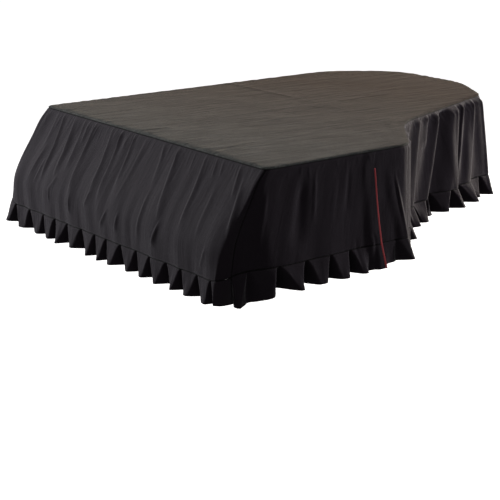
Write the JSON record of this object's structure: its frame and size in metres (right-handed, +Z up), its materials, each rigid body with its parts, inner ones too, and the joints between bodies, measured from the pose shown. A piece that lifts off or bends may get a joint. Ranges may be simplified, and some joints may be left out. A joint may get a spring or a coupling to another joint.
{
  "type": "grand piano cover",
  "caption": "Fitted cloth cover for a grand piano, with a flat top, hanging panels with soft folds, a gathered ruffle at the hem and a side slit with a red edge.",
  "frame": {"origin": "the point on the underside of the top panel where the closed lid carries the cover, midway across it and 0.60 m behind its front edge", "axes": "+Z up, +Y from the keyboard end to the tail, +X from the bass side to the treble side"},
  "size_m": [1.6443, 1.8395, 0.4336],
  "materials": {
    "top_cloth": "black woven cloth with a soft matt sheen, lying flat",
    "hanging_cloth": "black woven cloth with a soft matt sheen and a deep red reverse",
    "red_edging": "deep red woven cloth, matt"
  },
  "bodies": {
    "root": {"top_panel": "top_cloth", "front_panel": "hanging_cloth", "treble_panel": "hanging_cloth", "bent_side_panel": "hanging_cloth", "tail_panel": "hanging_cloth", "bass_panel": "hanging_cloth", "front_ruffle": "hanging_cloth", "treble_ruffle": "hanging_cloth", "bent_side_ruffle": "hanging_cloth", "tail_ruffle": "hanging_cloth", "bass_ruffle": "hanging_cloth", "slit_edging": "red_edging"}
  },
  "joints": []
}
